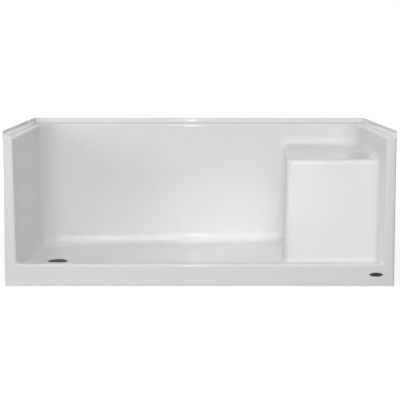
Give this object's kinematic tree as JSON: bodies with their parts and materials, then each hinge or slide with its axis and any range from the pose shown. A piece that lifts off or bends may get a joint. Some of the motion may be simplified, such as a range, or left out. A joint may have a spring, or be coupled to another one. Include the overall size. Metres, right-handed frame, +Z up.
{
  "type": "shower base",
  "caption": "Low-walled moulded shower base with an upright tiling flange, a bench seat at one end, a step over along the front and a lift-out outlet strainer.",
  "frame": {"origin": "on the ground, under the middle of the base's outer length and depth", "axes": "+Z up, X along the length with the seat at +X and the outlet at -X, the open front faces -Y"},
  "size_m": [1.524, 0.7637, 0.61],
  "materials": {
    "gelcoat": "gloss",
    "softwood": "matte",
    "plywood": "matte",
    "outlet_plastic": "satin",
    "outlet_rubber": "matte",
    "washer_card": "matte",
    "dark_strainer": "satin",
    "dark_plate": "satin"
  },
  "bodies": {
    "base": {"moulded_shell": "gelcoat", "ledge_rail_back": "softwood", "ledge_rail_left": "softwood", "ledge_rail_right": "softwood", "back_batten_1": "softwood", "back_batten_2": "softwood", "back_batten_3": "softwood", "back_batten_4": "softwood", "left_batten_1": "softwood", "left_batten_2": "softwood", "right_batten_1": "softwood", "right_batten_2": "softwood", "post_block_left": "softwood", "post_block_right": "softwood", "step_beam": "softwood", "seat_board": "plywood", "seat_leg_front_left": "softwood", "seat_leg_front_right": "softwood", "seat_leg_rear_left": "softwood", "seat_leg_rear_right": "softwood", "seat_rail_front": "softwood", "seat_rail_rear": "softwood", "seat_rail_left": "softwood", "seat_rail_right": "softwood", "floor_board": "plywood", "floor_runner_front": "softwood", "floor_runner_middle": "softwood", "floor_runner_rear": "softwood", "outlet_pad_front": "softwood", "outlet_pad_rear": "softwood", "outlet_body": "outlet_plastic", "outlet_gasket": "outlet_rubber", "friction_washer": "washer_card", "outlet_locknut": "outlet_plastic", "name_plate": "dark_plate"},
    "strainer": {"outlet_strainer": "dark_strainer"}
  },
  "joints": [
    {"name": "strainer_lift", "type": "slide", "parent": "base", "child": "strainer", "axis": [0, 0, 1], "range_m": [0, 0.06]}
  ]
}
